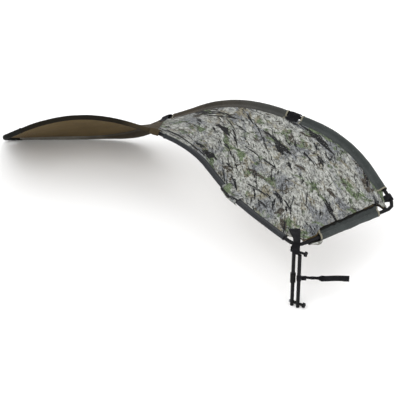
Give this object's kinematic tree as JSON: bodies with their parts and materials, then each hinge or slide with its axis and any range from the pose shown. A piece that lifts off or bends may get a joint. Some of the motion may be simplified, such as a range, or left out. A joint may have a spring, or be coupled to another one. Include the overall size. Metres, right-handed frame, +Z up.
{
  "type": "layout field blind",
  "caption": "Low camouflage ground blind: twisted, arched frame of folding tube rails with cloth panels, rail sleeves and a two-tube folding leg under the raised corner.",
  "frame": {"origin": "on the ground, in the middle of the foot of the folded half of the leg", "axes": "+X along the blind's length from the far end towards the near end's outer corner, +Y across it from the raised rail towards the low rail, +Z up"},
  "size_m": [2.2915, 1.6945, 0.6031],
  "materials": {
    "camo_cloth": "woven polyester, blotched grey, green and tan print outside, plain brown inside",
    "sleeve_cloth": "heavy plain-woven polyester, dull grey",
    "webbing": "ribbed black polypropylene webbing",
    "black_tube": "satin black powder coat on aluminium tube and fittings",
    "steel": "zinc-plated, dull",
    "black_plastic": "fine-textured moulded nylon",
    "black_rubber": "matt, lightly scuffed"
  },
  "bodies": {
    "middle_section": {"mid_rail_a": "black_tube", "mid_rail_b": "black_tube", "tongue_a_near": "black_tube", "tongue_b_near": "black_tube", "tongue_a_far": "black_tube", "tongue_b_far": "black_tube", "hinge_pin_a_near": "steel", "hinge_pin_b_near": "steel", "hinge_pin_a_far": "steel", "hinge_pin_b_far": "steel", "panel_mid": "camo_cloth", "sleeve_mid_a": "sleeve_cloth", "sleeve_mid_b": "sleeve_cloth"},
    "near_section": {"near_hoop_tube": "black_tube", "fork_a_near": "black_tube", "fork_b_near": "black_tube", "panel_near": "camo_cloth", "sleeve_near_a": "sleeve_cloth", "sleeve_near_b": "sleeve_cloth", "sleeve_near_end": "sleeve_cloth", "corner_strap_a_near": "webbing", "corner_strap_b_near": "webbing", "hip_bracket": "black_tube", "hip_bolt": "steel", "hip_spacer": "black_plastic"},
    "hip_clamp_knob": {"hip_knob": "black_plastic"},
    "leg_upper": {"leg_upper_tube": "black_tube", "leg_upper_cap": "black_plastic", "leg_upper_foot": "black_rubber", "keeper_sleeve": "black_rubber", "knee_bolt": "steel", "knee_spacer": "black_plastic"},
    "knee_clamp_knob": {"knee_knob": "black_plastic"},
    "leg_lower": {"leg_lower_tube": "black_tube", "leg_lower_cap": "black_plastic", "leg_lower_foot": "black_rubber", "cinch_loop": "webbing", "cinch_buckle": "black_plastic", "cinch_tail": "webbing"},
    "far_section": {"far_hoop_tube": "black_tube", "fork_a_far": "black_tube", "fork_b_far": "black_tube", "panel_far": "camo_cloth", "sleeve_far_a": "sleeve_cloth", "sleeve_far_b": "sleeve_cloth", "sleeve_far_end": "sleeve_cloth", "corner_strap_a_far": "webbing", "corner_strap_b_far": "webbing"}
  },
  "joints": [
    {"name": "fold_near", "type": "hinge", "parent": "middle_section", "child": "near_section", "pos_m": [-0.365, 0.5, 0.39], "axis": [0.5647, 0.7727, 0.2898], "range_deg": [0, 90]},
    {"name": "fold_far", "type": "hinge", "parent": "middle_section", "child": "far_section", "pos_m": [-0.785, 1.035, 0.46], "axis": [0.0841, 0.8995, -0.4287], "range_deg": [0, 90]},
    {"name": "hip_swing", "type": "hinge", "parent": "near_section", "child": "leg_upper", "pos_m": [-0.03118, 0.018, 0.38], "axis": [0.866, -0.5, 0], "range_deg": [0, 70]},
    {"name": "hip_knob_turn", "type": "hinge", "parent": "near_section", "child": "hip_clamp_knob", "pos_m": [0.02598, -0.015, 0.38], "axis": [0.866, -0.5, 0], "range_deg": [0, 720]},
    {"name": "knee_unfold", "type": "hinge", "parent": "leg_upper", "child": "leg_lower", "pos_m": [0, 0, 0.026], "axis": [0.866, -0.5, 0], "range_deg": [0, 180]},
    {"name": "knee_knob_turn", "type": "hinge", "parent": "leg_upper", "child": "knee_clamp_knob", "pos_m": [0.02598, -0.015, 0.026], "axis": [0.866, -0.5, 0], "range_deg": [0, 720]}
  ]
}
